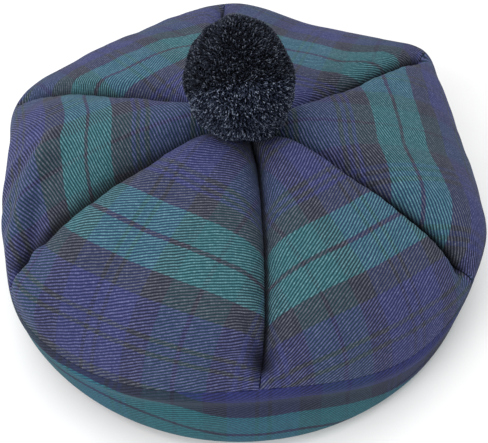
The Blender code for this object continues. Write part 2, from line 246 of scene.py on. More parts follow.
def fold_rise(gore, across, s):
    """Height that the gore's soft folds add, and its dents take away."""
    rise = 0 * s
    for fold in FOLDS:
        if fold.gore != gore.name:
            continue
        along = np.clip((s - fold.start) / (fold.end - fold.start), 0, 1)
        spoke = fold.spoke_in + (fold.spoke_out - fold.spoke_in) * along
        distance = (across - spoke) * HALF_GORE * s / fold.width
        ends = ease(fold.start - 0.10, fold.start + 0.12, s) * (1 - ease(fold.end - 0.14, fold.end, s))
        rise = rise + fold.rise * np.exp(-distance * distance) * ends
    return rise * (1 - np.minimum(np.abs(across), 1) ** 8)


def gore_point(number, s, t):
    """Outer face of a gore: s from the crown's centre to its edge, t across it."""
    gore = GORES[number]
    before, after, start, stop = gore_seams(number)
    q_before = np.clip((-t - ROLL_SHARE) / (1 - ROLL_SHARE), 0, 1)
    q_after = np.clip((t - ROLL_SHARE) / (1 - ROLL_SHARE), 0, 1)
    in_before, drop_before = seam_roll(before, True, s, q_before)
    in_after, drop_after = seam_roll(after, False, s, q_after)
    first = angle_beside(before, start, s, in_before)
    last = angle_beside(after, stop, s, -in_after)
    share = np.clip((t + ROLL_SHARE) / (2 * ROLL_SHARE), 0, 1)
    between = first + (last - first) * share
    angle = np.where(t < -ROLL_SHARE, first, np.where(t > ROLL_SHARE, last, between))

    seam_first = angle_beside(before, start, s, 0)
    seam_last = angle_beside(after, stop, s, 0)
    across = 2 * (angle - seam_first) / (seam_last - seam_first) - 1
    puff = gore.puff * (1 - np.minimum(np.abs(across), 1) ** 2.4)
    puff = puff * ease(0.0, 0.22, s) * (1 - ease(0.60, 1.0, s))
    lift = puff + fold_rise(gore, across, s) - drop_before - drop_after

    radius, height, out, up = crown_sheet(angle, s)
    radius = radius + lift * out
    height = height + lift * up
    turn = np.radians(angle)
    return round_place(CROWN_CENTRE, radius, turn, height)


def round_reach(angle, radius):
    """Distance from the crown's centre to a circle round the ring's centre."""
    turn = np.radians(angle)
    dx, dy = RING_CENTRE[0] - CROWN_CENTRE[0], RING_CENTRE[1] - CROWN_CENTRE[1]
    along = dx * np.cos(turn) + dy * np.sin(turn)
    return along + np.sqrt(along * along - dx * dx - dy * dy + radius * radius)


def ring_point(angle, q):
    """Outer face of the ring: q from the crown's edge down, under and in to the band."""
    reach, height = outline("reach", angle), outline("height", angle)
    slope = np.radians(outline("slope", angle))
    foot = round_reach(angle, round_curve(FEET, "radius", angle))
    middle = (reach + foot) / 2 + RING_BULGE
    inner = round_reach(angle, HEAD_RADIUS + BAND_CLOTH + 2 * GAP)
    level = 0 * reach
    path = (
        (reach, height),
        (reach + RING_TURN * np.cos(slope), height - RING_TURN * np.sin(slope)),
        (0.7 * reach + 0.3 * middle + 0.001, height - 0.57 * RING_DROP),
        (middle, height - RING_DROP),
        ((middle + foot) / 2, height / 2 - 0.004),
        (foot, FOOT_HEIGHT + level),
        (foot - 0.3 * FOOT_TURN, 0.3 * FOOT_HEIGHT + level),
        (foot - FOOT_TURN, level),
        (foot - FOOT_TURN - RING_FLAT, level),
        (0.55 * foot + 0.45 * inner - 0.010, 0.35 * RING_RISE + level),
        (inner, RING_RISE + level),
    )
    radii = np.array([step[0] for step in path])
    heights = np.array([step[1] for step in path])
    place = np.clip(q, 0, 1 - 1e-9) * (len(path) - 1)
    i = place.astype(int)
    u = place - i
    radius = spline_through(radii, i, u)
    height = np.maximum(spline_through(heights, i, u), 0)
    under = ease(0.62, 0.80, q) * (1 - ease(0.97, 1.0, q))
    height = height + under * GATHER_DEPTH * (1 + np.sin(np.radians(angle) * GATHERS))
    turn = np.radians(angle)
    return round_place(CROWN_CENTRE, radius, turn, height)


def spline_through(points, i, u):
    """Catmull-Rom curve through a row of points, at u of the way from point i to the next."""
    ends = np.concatenate([[2 * points[0] - points[1]], points, [2 * points[-1] - points[-2]]])
    column = np.arange(points.shape[1])
    a, b, c, d = (ends[i + k, column] for k in range(4))
    return 0.5 * (2 * b + (c - a) * u + (2 * a - 5 * b + 4 * c - d) * u ** 2
                  + (3 * b - a - 3 * c + d) * u ** 3)


def crown_top(x, y):
    """Height of the crown's outer face over a place near its middle."""
    dx, dy = x - CROWN_CENTRE[0], y - CROWN_CENTRE[1]
    angle = np.degrees(np.arctan2(dy, dx))
    steps = np.linspace(0, 1, 201)
    radii, heights, _, _ = crown_sheet(angle + 0 * steps, steps)
    s = np.interp(np.hypot(dx, dy), radii, steps)
    highest_puff = max(gore.puff for gore in GORES)
    return np.interp(s, steps, heights) + highest_puff * ease(0.0, 0.22, s)


# ---- dressing the hat: dimensions ----
FINE_ROLL = 20             # cells across each roll of a gore
FINE_FIELD = 60            # cells across its field
SEAM_END = 0.994           # where the visible cloth ends, just short of the seam itself
FINE_SPOKE = 84            # cells from its tip to its edge
RING_FINE_ROWS = 90
RING_FINE_COLUMNS = 480
RING_ROUND = 0.920         # length of the side ring round the hat
BAND_FINE_ROWS = 14
BAND_FINE_COLUMNS = 240
GORE_CLOTH = 0.0012        # one thickness of the twill with its nap
EASE_DEPTH = 0.00035       # how much the cloth ripples where it is eased into the seams
DIMPLE_PLACE = (0.0128, -0.1265)   # where the front seam's groove ends
DIMPLE_DEPTH = 0.0045
DIMPLE_RADIUS = 0.0055
DIMPLE_FOLDS = 7           # small folds that run out from it
DIMPLE_FOLD_PLACE = 0.013  # how far from its middle they are highest
DIMPLE_FOLD_REACH = 0.006
DIMPLE_FOLD_SHARE = 0.20   # their height, as a share of its depth
FRONT_SEAM_SIDES = {3: 1, 4: -1}   # the side of each front gore that the front seam is on
FRONT_SEAM_REACH = 0.0050  # how much nearer the two come below the pit, as a share of half the width
FRONT_SEAM_SHUT = (0.84, 0.90, 0.955, 0.975)   # starts to close, is shut, starts to open, is open
DROP_SHARE = 0.5           # part of the cloth's rise and fall that counts in its pattern's width
RING_SOFTENING = 7         # columns to each side that a stripe's corners are softened over
SLACK_DEPTH = 0.00045      # soft unevenness of cloth that has been worn

# Where the painted shade begins on each gore beside the seam before it and after it, as a share of its
# half width: of the two sides of a seam, one turns down far into shade, which is painted darker. End is
# where the painted shade on the side after the gore is darkest.
SeamShadeStart = namedtuple("SeamShadeStart", "before after end")
SEAM_SHADE_STARTS = (
    SeamShadeStart(0.74, 0.84, 0.93), SeamShadeStart(0.84, 0.76, 0.93), SeamShadeStart(0.86, 0.74, 0.85),
    SeamShadeStart(0.88, 0.88, 0.93), SeamShadeStart(0.84, 0.86, 0.93), SeamShadeStart(0.80, 0.88, 0.93),
)
SEAM_SHADE_END = 0.93

# Soft folds on the left, where the crown hangs over: lines seen from above.
Slump = namedtuple("Slump", "points width rise")
SLUMPS = (
    Slump(((-0.096, -0.014), (-0.107, -0.039), (-0.113, -0.057), (-0.113, -0.074)), 0.0062, 0.0046),
    Slump(((-0.104, -0.048), (-0.104, -0.072)), 0.0040, -0.0032),
    Slump(((-0.109, -0.082), (-0.094, -0.104)), 0.0060, 0.0030),
    Slump(((-0.097, -0.058), (-0.098, -0.074)), 0.0032, 0.0020),
)

# How the cloth of each gore lies, in millimetres from the crown's centre. Stripe is where
# the middle of the wide green stripe crosses the gore's centreline, skew and bow are how it
# runs across, and wave is where the cloth has been eased. Pivot is the place across the gore
# of the line that the lengthways stripes mirror in, and drift is how it leans. Squeeze is how
# much each edge of the green stripe lies nearer its middle, on a gore that hangs over the side,
# and squeeze_end is the place across the gore where that begins to fade.
Lay = namedtuple("Lay", "stripe skew bow wave wave_place wave_length pivot drift squeeze squeeze_end")
LAYS = (
    Lay(83.3, -0.053, 0.0000, -2.2, -29.0, 60.0, -3.9, 0.04, 0.0, 0),
    Lay(89.6, 0.190, -0.0024, 1.6, -6.0, 44.0, 19.7, 0.04, 0.0, 0),
    Lay(90.2, -0.083, -0.0001, 0.0, 0.0, 60.0, -23.6, 0.30, 3.8, 100),
    Lay(87.6, 0.078, -0.0009, 0.0, 0.0, 60.0, -11.9, -0.02, 0.0, 0),
    Lay(87.8, -0.064, 0.0005, 0.0, 0.0, 60.0, 17.1, 0.05, 0.0, 0),
    Lay(84.5, -0.010, -0.0002, 0.6, 5.0, 60.0, 38.0, -0.02, 1.8, 10),
)
DRIFT_FROM = 85.0          # where the drift is measured from
SQUEEZE_REACH = 14.0       # how far from the green stripe's middle the cloth is squeezed
SQUEEZE_FADE = 30.0

# How far below its edge the green stripe's middle runs in the side ring, in millimetres.
RingLay = namedtuple("RingLay", "angle depth")
RING_LAYS = (
    RingLay(20, 52), RingLay(80, 50), RingLay(140, 46), RingLay(185, 34), RingLay(212, 24),
    RingLay(230, 20.5), RingLay(236, 18), RingLay(242, 18.8), RingLay(250, 22.5), RingLay(255, 27),
    RingLay(260, 32), RingLay(265, 36), RingLay(272, 37), RingLay(280, 35), RingLay(290, 37),
    RingLay(300, 40), RingLay(312, 43), RingLay(335, 50),
)

# Half the sett, from the pivot between the paired lines to the pivot in the wide blue, in
# millimetres of the crosswise yarn. The lengthways yarn lies closer together.
Stripe = namedtuple("Stripe", "width yarn")
SETT = (
    Stripe(2.0, "blue"), Stripe(2.4, "black"), Stripe(15.0, "blue"), Stripe(12.5, "black"),
    Stripe(14.8, "green"), Stripe(2.4, "black"), Stripe(14.8, "green"), Stripe(12.0, "black"),
    Stripe(2.1, "blue"), Stripe(2.4, "black"), Stripe(2.6, "blue"), Stripe(2.4, "black"),
    Stripe(11.3, "blue"),
)
HALF_SETT = sum(stripe.width for stripe in SETT) / 1000
GREEN_MIDDLE = 0.0479      # from the first pivot to the middle of the green stripe
WARP_CLOSENESS = 0.90
WEFT_COLOURS = {"blue": "#22265c", "black": "#22273a", "green": "#205c66"}
WARP_COLOURS = {"blue": "#29346a", "black": "#1f2432", "green": "#16464e"}

RIB_PITCH = 0.00145        # from one twill rib to the next
RIB_TURN = 62.5            # degrees between the ribs and the gore's centreline
THREAD_PITCH = 0.00115     # drawn about twice as coarse as the real thread, so that it shows
# Painted sheen: pale light added on the rib crests, where loose fibres catch it.
PAINTED_SHEEN = (0.020, 0.020, 0.019)
FLOAT_SPREAD = 0.38        # how unlike each other the floats are
FLOAT_END = 0.92           # how light the ends of a float are
FLOAT_DOT = 0.16           # how much lighter its middle is, a painted highlight
YARN_STIR = 0.0010         # width of the band that the yarn strays in
HEATHER = (0.76, 1.24)     # tones of the darkest and the lightest fibres in a yarn
GROOVE_SHADE = 0.55          # part of the colour's tone that the painted shade in a groove takes away
SEAM_DARK = 0.88           # part of the cloth's tone that is painted away as shade in a seam
TWILL_HEIGHT = 0.00025     # height of the ribs
BAND_RIB_PITCH = 0.0016
BAND_RIB_HEIGHT = 0.0003
WEFT_SHARE = 0.50          # part of a rib where the crosswise yarn is on top

# Camera and light.
CAMERA_AIM = (0.00468, -0.05156, 0.058)
CAMERA_DISTANCE = 0.2731
CAMERA_HEIGHT = 53.66      # degrees above the level
CAMERA_LENS = 38.30
CAMERA_SENSOR = 36.0
ROOM_LIGHT = 0.53          # strength of the soft white room
AreaLight = namedtuple("AreaLight", "name place aim size power")
LIGHTS = (
    AreaLight("overhead", (-0.08, 0.22, 1.3), (0, 0, 0.03), 1.1, 10.6),
    AreaLight("front", (-0.78, -0.72, 0.92), (0, 0, 0.05), 0.8, 7.6),
)
FLOOR_SIZE = 6.0


# ---- mesh helpers ----
def surface_normals(place):
    """Unit normals of a grid of places, pointing up on a flat crown."""
    along = np.gradient(place, axis=0)
    across = np.gradient(place, axis=1)
    normal = np.cross(along, across)
    return normal / np.maximum(np.linalg.norm(normal, axis=-1, keepdims=True), 1e-12)


def grid_piece(name, place, lay, round_piece=False):
    """A cloth grid as a mesh object with its lay in the flat cloth as UV map, in metres."""
    rows, columns = place.shape[:2]
    across = columns if round_piece else columns - 1
    row, column = np.meshgrid(np.arange(rows - 1), np.arange(across), indexing="ij")
    row, column = row.ravel(), column.ravel()
    corners = np.stack([row, row + 1, row + 1, row, column, column, column + 1, column + 1], 1)
    corner_rows, corner_columns = corners[:, :4], corners[:, 4:]
    faces = corner_rows * columns + corner_columns % columns
    mesh = bpy.data.meshes.new(name)
    mesh.from_pydata(place.reshape(-1, 3).tolist(), [], faces.tolist())
    uv = mesh.uv_layers.new(name="cloth lay")
    uv.data.foreach_set("uv", lay[corner_rows, corner_columns].astype(np.float32).ravel())
    mesh.shade_smooth()
    mesh.update()
    item = bpy.data.objects.new(name, mesh)
    bpy.context.scene.collection.objects.link(item)
    return item


def thicken(item, thickness):
    wall = item.modifiers.new("cloth", "SOLIDIFY")
    wall.thickness = thickness
    wall.offset = -1.0


# ---- gores ----
def flat_cloth(place):
    """Place of each point in its gore's flat cloth: across the centreline and along it."""
    middle = place.shape[1] // 2
    spoke = np.linalg.norm(np.diff(place[:, middle], axis=0), axis=-1)
    out = CROWN_HOLE + np.concatenate([[0.0], np.cumsum(spoke)])[:, None]
    side = np.linalg.norm(np.diff(place, axis=1) * (1, 1, DROP_SHARE), axis=-1)
    arc = np.concatenate([np.zeros((len(place), 1)), np.cumsum(side, 1)], 1)
    turn = (arc - arc[:, middle:middle + 1]) / out
    return out * np.sin(turn), out * np.cos(turn)


def gore_lay(number, place):
    """Places in the sett, from its two pivots, of a gore's cloth."""
    lay = LAYS[number]
    across, along = flat_cloth(place)
    across_mm, along_mm = across * 1000, along * 1000
    stripe = lay.stripe + lay.skew * across_mm + lay.bow * across_mm ** 2
    stripe = stripe + lay.wave * np.cos(2 * pi * (across_mm - lay.wave_place) / lay.wave_length)
    pivot = lay.pivot + lay.drift * (along_mm - DRIFT_FROM)
    from_stripe = along_mm - stripe
    squeeze = lay.squeeze * (1 - ease(lay.squeeze_end, lay.squeeze_end + SQUEEZE_FADE, across_mm))
    from_stripe = from_stripe + squeeze * np.tanh(from_stripe / SQUEEZE_REACH)
    return np.stack([across - pivot / 1000, from_stripe / 1000 - GREEN_MIDDLE], -1)


def soft_ripples(number, s, t, place):
    """Small unevenness of the cloth: slack in the field and easing along the seams."""
    x, y = place[..., 0], place[..., 1]
    turn = 1.3 * number
    slack = (np.sin(95 * x + 140 * y + turn) * np.sin(170 * y - 60 * x + 2 * turn)
             + 0.6 * np.sin(230 * x + 3 * turn) * np.sin(190 * y + 110 * x - turn))
    along = 155 * s + 1.5 * np.sin(9 * s + turn)
    ease_in = np.exp(-((1 - np.abs(t)) / 0.30) ** 2) * np.sin(along + 4 * t)
    inside = ease(0.10, 0.35, s) * (1 - ease(0.86, 0.985, s)) * (1 - ease(0.80, 0.98, np.abs(t)))
    return (SLACK_DEPTH * slack + EASE_DEPTH * ease_in + slumped_folds(place)) * inside


def slumped_folds(place):
    """Height of the soft folds where the crown has slumped over its side."""
    total = np.zeros(place.shape[:2])
    for fold in SLUMPS:
        away = np.full(total.shape, 1.0)
        for start, end in zip(fold.points, fold.points[1:]):
            start, way = np.array(start), np.subtract(end, start)
            share = np.clip(((place[..., :2] - start) @ way) / (way @ way), 0, 1)
            off_line = place[..., :2] - start - share[..., None] * way
            away = np.minimum(away, np.linalg.norm(off_line, axis=-1))
        total += fold.rise * np.exp(-(away / fold.width) ** 2)
    return total


def seam_dimple(place):
    """The pit where the front seam ends, from 0 to 1, and the small folds that run out from it.

    The folds reach the crown's edge unfaded, and press the gores up to 0.44 mm into the ring.
    """
    dx, dy = place[..., 0] - DIMPLE_PLACE[0], place[..., 1] - DIMPLE_PLACE[1]
    away = np.hypot(dx, dy)
    fading = np.exp(-((away - DIMPLE_FOLD_PLACE) / DIMPLE_FOLD_REACH) ** 2)
    folds = np.cos(DIMPLE_FOLDS * np.arctan2(dx, -dy)) * fading
    return np.exp(-(away / DIMPLE_RADIUS) ** 2), DIMPLE_FOLD_SHARE * folds


def seam_shade(number, s, t, pit):
    """How far the cloth is turned into its seams or sunk into the pit, and so lies in shade that is
    painted darker.
    """
    shade_start = SEAM_SHADE_STARTS[number]
    painted_seam_shade = np.where(t > 0, ease(shade_start.after, shade_start.end, t), ease(shade_start.before, SEAM_SHADE_END, -t))
    return np.maximum(painted_seam_shade * ease(0.06, 0.20, s) * (1 - ease(0.86, 0.93, s)), pit)


def closed_front_seam(number, s, t):
    """Places across a gore, brought nearer to the front seam below its pit, where it lies shut."""
    side = FRONT_SEAM_SIDES.get(number, 0)
    rolled = np.clip((side * t - ROLL_SHARE) / (SEAM_END - ROLL_SHARE), 0, 1)
    close, shut, release, free = FRONT_SEAM_SHUT
    return t + side * FRONT_SEAM_REACH * rolled * ease(close, shut, s) * (1 - ease(release, free, s))


def make_fine_gore(number):
    near = np.linspace(0, 0.2, 201)
    tip = np.interp(CROWN_HOLE, crown_sheet(0 * near, near)[0], near)
    edge = 1 - GAP / 2 / (3 * SHOULDER)
    steps = np.append(np.linspace(0, 1 - EDGE_ROW, FINE_SPOKE + 1) ** 0.95, [1 - EDGE_ROW / 2, 1])
    roll = np.linspace(ROLL_SHARE, SEAM_END, FINE_ROLL + 1)[1:]
    across = np.concatenate([-roll[::-1], np.linspace(-ROLL_SHARE, ROLL_SHARE, FINE_FIELD + 1), roll])
    s, t = np.meshgrid(tip + (edge - tip) * steps, across, indexing="ij")
    t = closed_front_seam(number, s, t)
    place = gore_point(number, s.ravel(), t.ravel()).reshape(*s.shape, 3)
    lay = gore_lay(number, place)
    place = place + surface_normals(place) * soft_ripples(number, s, t, place)[..., None]
    pit, folds = seam_dimple(place)
    place[..., 2] -= DIMPLE_DEPTH * (pit + folds)
    name = GORES[number].name.replace("crown_gore", "gore")
    piece = grid_piece(name + "_cloth", place, lay)
    # The seam shade attribute holds painted shade along the seams and in the pit.
    shade = piece.data.attributes.new("seam shade", "FLOAT", "POINT")
    shade.data.foreach_set("value", seam_shade(number, s, t, pit).astype(np.float32).ravel())
    return piece


# ---- side ring and head band ----
def ring_stripe_depth(angle):
    """Depth of the green stripe's middle below the ring's edge, smooth round the hat."""
    angles = np.array([row.angle for row in RING_LAYS], float)
    depths = np.array([row.depth for row in RING_LAYS], float)
    angles = np.concatenate([angles - 360, angles, angles + 360])
    return np.interp(np.mod(angle, 360), angles, np.tile(depths, 3)) / 1000


def smooth_round(values, width):
    """Running mean round the hat, so that a table's corners become soft."""
    kernel = np.hanning(2 * width + 1)
    padded_values = np.concatenate([values[-width:], values, values[:width]])
    return np.convolve(padded_values, kernel / kernel.sum(), "valid")


def make_fine_ring():
    start = GAP / 2 / (RING_TURN * RING_ROWS)
    q = start + (1 - start) * np.linspace(0, 1, RING_FINE_ROWS + 1)
    angle = np.arange(RING_FINE_COLUMNS) * 360 / RING_FINE_COLUMNS
    row, column = np.meshgrid(q, angle, indexing="ij")
    place = ring_point(column.ravel(), row.ravel()).reshape(*row.shape, 3)
    down = np.linalg.norm(np.diff(place, axis=0), axis=-1)
    depth = np.concatenate([np.zeros((1, RING_FINE_COLUMNS)), np.cumsum(down, 0)])
    stripe = smooth_round(ring_stripe_depth(angle), RING_SOFTENING)
    round_way = np.arange(RING_FINE_COLUMNS + 1) * RING_ROUND / RING_FINE_COLUMNS
    out = GREEN_MIDDLE + depth - stripe
    out = np.concatenate([out, out[:, :1]], 1)
    lay = np.stack([round_way + 0 * out, out], -1)
    return grid_piece("side_ring_cloth", place, lay, round_piece=True)


def make_fine_band():
    height = np.linspace(BAND_HEIGHT, 0, BAND_FINE_ROWS + 1)
    turn = np.arange(BAND_FINE_COLUMNS) * 2 * pi / BAND_FINE_COLUMNS
    row, column = np.meshgrid(height, turn, indexing="ij")
    radius = HEAD_RADIUS + BAND_CLOTH
    place = round_place(RING_CENTRE, radius, column, row)
    round_way = radius * np.append(turn, 2 * pi)
    lay = np.stack(np.broadcast_arrays(round_way[None, :], height[:, None]), -1)
    return grid_piece("head_band_cloth", place, lay, round_piece=True)


# ---- toorie ----
CORE_INSET = 0.0024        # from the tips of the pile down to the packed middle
CORE_LUMPS = 0.0007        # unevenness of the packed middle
PILE_LENGTH = 0.0028
PILE_SHORTEST = 0.12       # share of its length that the pile keeps where it has no room
PILE_UNEVENNESS = 0.25
PILE_DISORDER = 0.75
PILE_DENSITY = 1.2e7       # most yarn ends in a square metre, before their spacing thins them out
YARN_SPACING = 0.00041
YARN_WIDTHS = (0.00044, 0.00066)
FULL_TURN = 6.283
PARTING_WAY = (-0.12, 0.61, 0.78)    # across the slanting parting, above which the pile is coloured darker and below which lighter
PARTING = -0.13            # where the parting lies along it, as a share of the ball
PARTING_BLUR = 0.03
PILE_LEANS = (0.45, -0.30)           # how far the pile leans over above and below the parting
PILE_LEAN_REACH = 0.40
PILE_PARTS = (("toorie_upper_pile", "upper", 11), ("toorie_lower_pile", "lower", 23))


def toorie_middle():
    return np.array([CROWN_CENTRE[0] + TOORIE_LEAN[0], CROWN_CENTRE[1] + TOORIE_LEAN[1],
                     CROWN_DIMPLE + TOORIE_HEIGHT / 2 - TOORIE_SINK])


def egg_surface(direction):
    """Places on the toorie's outside for unit directions from its middle."""
    narrow = 1 - 0.20 * np.maximum(direction[:, 2], 0) ** 2
    half_width, half_height = TOORIE_WIDTH / 2, TOORIE_HEIGHT / 2
    return np.stack([direction[:, 0] * half_width * narrow + direction[:, 2] * TOORIE_TILT[0],
                     direction[:, 1] * half_width * narrow + direction[:, 2] * TOORIE_TILT[1],
                     direction[:, 2] * half_height], -1)


def make_toorie_core():
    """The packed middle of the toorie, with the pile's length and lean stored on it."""
    builder = bmesh.new()
    bmesh.ops.create_icosphere(builder, subdivisions=5, radius=1.0)
    mesh = bpy.data.meshes.new("toorie_core")
    builder.to_mesh(mesh)
    builder.free()
    direction = np.empty(len(mesh.vertices) * 3)
    mesh.vertices.foreach_get("co", direction)
    direction = direction.reshape(-1, 3)
    direction /= np.linalg.norm(direction, axis=1, keepdims=True)
    surface = egg_surface(direction)
    x, y, z = direction.T
    lumps = np.sin(9 * x + 4 * z) * np.sin(8 * y - 3 * z) + 0.7 * np.sin(15 * z + 6 * x)
    place = (surface * (1 - CORE_INSET / (TOORIE_WIDTH / 2)) + direction * CORE_LUMPS * lumps[:, None]
             + toorie_middle())
    floor = np.array([crown_top(x, y) for x, y in place[:, :2]]) + TOORIE_SEAT
    room = np.clip((place[:, 2] - floor) / PILE_LENGTH, PILE_SHORTEST, 1.0)
    place[:, 2] = np.maximum(place[:, 2], floor)
    mesh.vertices.foreach_set("co", place.ravel())
    height = direction @ np.array(PARTING_WAY)
    upper = ease(PARTING - PARTING_BLUR, PARTING + PARTING_BLUR, height)
    fading = np.exp(-((height - PARTING) / PILE_LEAN_REACH) ** 2)
    lean = np.where(height > PARTING, *PILE_LEANS) * fading
    for name, values in (("upper", upper), ("lower", 1 - upper), ("pile length", room),
                         ("pile lean", lean), ("height", height)):
        mesh.attributes.new(name, "FLOAT", "POINT").data.foreach_set("value", values.astype(np.float32))
    mesh.shade_smooth()
    mesh.update()
    item = bpy.data.objects.new("toorie_core", mesh)
    bpy.context.scene.collection.objects.link(item)
    return item


def add_node(tree, kind, values=None, links=None, **settings):
    """Adds a node with its settings, its own values and what feeds it.

    Each link is a socket, or a node whose first output is meant.
    """
    new = tree.nodes.new(kind)
    for name, value in settings.items():
        setattr(new, name, value)
    for key, value in (values or {}).items():
        new.inputs[key].default_value = value
    for key, source in (links or {}).items():
        socket = source.outputs[0] if isinstance(source, bpy.types.Node) else source
        tree.links.new(socket, new.inputs[key])
    return new


def yarn_end_mesh():
    """One cut end of yarn, root at the origin, a metre long along +Z and leaning a little."""
    builder = bmesh.new()
    turns = [2 * pi * k / 3 for k in range(3)]
    low, high = ([builder.verts.new((lean + radius * cos(turn), radius * sin(turn), height))
                  for turn in turns]
                 for height, radius, lean in ((0.0, 0.50, 0.0), (1.0, 0.42, 0.80)))
    for k in range(3):
        builder.faces.new((low[k], low[(k + 1) % 3], high[(k + 1) % 3], high[k]))
    builder.faces.new(high)
    builder.faces.new(low[::-1])
    mesh = bpy.data.meshes.new("yarn_end")
    builder.to_mesh(mesh)
    builder.free()
    return mesh


def pile_tree(material):
    """Geometry nodes that stand cut yarn ends all over the toorie's packed middle."""
    tree = bpy.data.node_groups.new("cut yarn pile", "GeometryNodeTree")
    add = partial(add_node, tree)
    face = tree.interface
    face.new_socket("Geometry", in_out="INPUT", socket_type="NodeSocketGeometry")
    for name, kind in (("Yarn end", "NodeSocketObject"), ("Part", "NodeSocketString"),
                       ("Spacing", "NodeSocketFloat"), ("Length", "NodeSocketFloat"),
                       ("Unevenness", "NodeSocketFloat"), ("Disorder", "NodeSocketFloat"),
                       ("Seed", "NodeSocketInt")):
        face.new_socket(name, in_out="INPUT", socket_type=kind)
    face.new_socket("Geometry", in_out="OUTPUT", socket_type="NodeSocketGeometry")
    asked = add("NodeGroupInput")
    part = add("GeometryNodeInputNamedAttribute", data_type="FLOAT",
               links={"Name": asked.outputs["Part"]})
    points = add("GeometryNodeDistributePointsOnFaces", distribute_method="POISSON",
                 values={"Density Max": PILE_DENSITY},
                 links={"Mesh": asked.outputs["Geometry"], "Distance Min": asked.outputs["Spacing"],
                        "Density Factor": part.outputs["Attribute"], "Seed": asked.outputs["Seed"]})
    lean = add("GeometryNodeInputNamedAttribute", data_type="FLOAT", values={"Name": "pile lean"})
    drop = add("ShaderNodeVectorMath", operation="SCALE", values={0: PARTING_WAY},
               links={"Scale": lean.outputs["Attribute"]})
    stray = add("FunctionNodeRandomValue", data_type="FLOAT_VECTOR",
                values={0: (-1, -1, -1), 1: (1, 1, 1)}, links={"Seed": asked.outputs["Seed"]})
    astray = add("ShaderNodeVectorMath", operation="SCALE",
                 links={0: stray, "Scale": asked.outputs["Disorder"]})
    aimed = add("ShaderNodeVectorMath", operation="ADD",
                links={0: points.outputs["Normal"], 1: drop})
    way = add("ShaderNodeVectorMath", operation="ADD", links={0: aimed, 1: astray})
    upright = add("FunctionNodeAlignRotationToVector", axis="Z", links={"Vector": way})
    spin = add("FunctionNodeRandomValue", data_type="FLOAT", values={2: 0.0, 3: FULL_TURN},
               links={"Seed": asked.outputs["Seed"]})
    turned = add("FunctionNodeRotateRotation", rotation_space="LOCAL",
                 links={"Rotation": upright})
    about = add("ShaderNodeCombineXYZ", links={"Z": spin.outputs[1]})
    tree.links.new(about.outputs[0], turned.inputs["Rotate By"])
    shortest = add("ShaderNodeMath", operation="SUBTRACT", values={0: 1.0},
                   links={1: asked.outputs["Unevenness"]})
    uneven = add("FunctionNodeRandomValue", data_type="FLOAT", values={3: 1.0},
                 links={2: shortest, "Seed": asked.outputs["Seed"]})
    room = add("GeometryNodeInputNamedAttribute", data_type="FLOAT", values={"Name": "pile length"})
    fitted = add("ShaderNodeMath", operation="MULTIPLY",
                 links={0: uneven.outputs[1], 1: room.outputs["Attribute"]})
    size = add("ShaderNodeMath", operation="MULTIPLY",
               links={0: fitted, 1: asked.outputs["Length"]})
    thick = add("FunctionNodeRandomValue", data_type="FLOAT",
                values={2: YARN_WIDTHS[0], 3: YARN_WIDTHS[1]},
                links={"Seed": asked.outputs["Seed"]})
    scale = add("ShaderNodeCombineXYZ",
                links={"X": thick.outputs[1], "Y": thick.outputs[1], "Z": size})
    yarn = add("GeometryNodeObjectInfo", links={"Object": asked.outputs["Yarn end"]})
    stood = add("GeometryNodeInstanceOnPoints",
                links={"Points": points.outputs["Points"], "Instance": yarn.outputs["Geometry"],
                       "Rotation": turned, "Scale": scale})
    shade = add("FunctionNodeRandomValue", data_type="FLOAT", links={"Seed": asked.outputs["Seed"]})
    noted = add("GeometryNodeStoreNamedAttribute", data_type="FLOAT", domain="INSTANCE",
                values={"Name": "shade"}, links={"Geometry": stood, "Value": shade.outputs[1]})
    real = add("GeometryNodeRealizeInstances", links={"Geometry": noted})
    dyed = add("GeometryNodeSetMaterial", values={"Material": material},
               links={"Geometry": real})
    add("NodeGroupOutput", links={"Geometry": dyed})
    return tree


def set_input(modifier, name, value):
    """Sets a modifier's named input by its socket's identifier."""
    for socket in modifier.node_group.interface.items_tree:
        if socket.name == name and socket.in_out == "INPUT":
            modifier[socket.identifier] = value


def make_pile(core, yarn_end, name, part, seed, tree):
    pile = bpy.data.objects.new(name, core.data.copy())
    bpy.context.scene.collection.objects.link(pile)
    stand = pile.modifiers.new("pile", "NODES")
    stand.node_group = tree
    for asked, value in (("Yarn end", yarn_end), ("Part", part), ("Spacing", YARN_SPACING),
                         ("Length", PILE_LENGTH), ("Unevenness", PILE_UNEVENNESS),
                         ("Disorder", PILE_DISORDER), ("Seed", seed)):
        set_input(stand, asked, value)
    seen = pile.evaluated_get(bpy.context.evaluated_depsgraph_get())
    mesh = bpy.data.meshes.new_from_object(seen)
    pile.modifiers.clear()
    pile.data = mesh
    mesh.name = name
    mesh.shade_smooth()
    return pile


# ---- materials ----
def colour(code):
    """Linear colour from a hex code."""
    values = [int(code[i:i + 2], 16) / 255 for i in (1, 3, 5)]
    return (*(v / 12.92 if v <= 0.04045 else ((v + 0.055) / 1.055) ** 2.4 for v in values), 1.0)


def new_material(name):
    material = bpy.data.materials.new(name)
    material.use_nodes = True
    return material, material.node_tree, material.node_tree.nodes["Principled BSDF"]


def set_surface(shader, values):
    for name, value in values.items():
        shader.inputs[name].default_value = value


def sett_colours(tree, place, closeness, colours):
    """Yarn colour along one way of the cloth: the sett runs to its pivot and back again."""
    add = partial(add_node, tree)
    half = HALF_SETT * closeness
    there_and_back = add("ShaderNodeMath", operation="PINGPONG", values={1: half}, links={0: place})
    share = add("ShaderNodeMath", operation="DIVIDE", values={1: half}, links={0: there_and_back})
    stripes = add("ShaderNodeValToRGB", links={0: share})
    ramp = stripes.color_ramp
    ramp.interpolation = "CONSTANT"
    ramp.elements.remove(ramp.elements[1])
    start = 0.0
    for number, stripe in enumerate(SETT):
        stop = ramp.elements[0] if number == 0 else ramp.elements.new(start / HALF_SETT)
        stop.position = start / HALF_SETT
        stop.color = colour(colours[stripe.yarn])
        start += stripe.width / 1000
    return stripes.outputs["Color"]


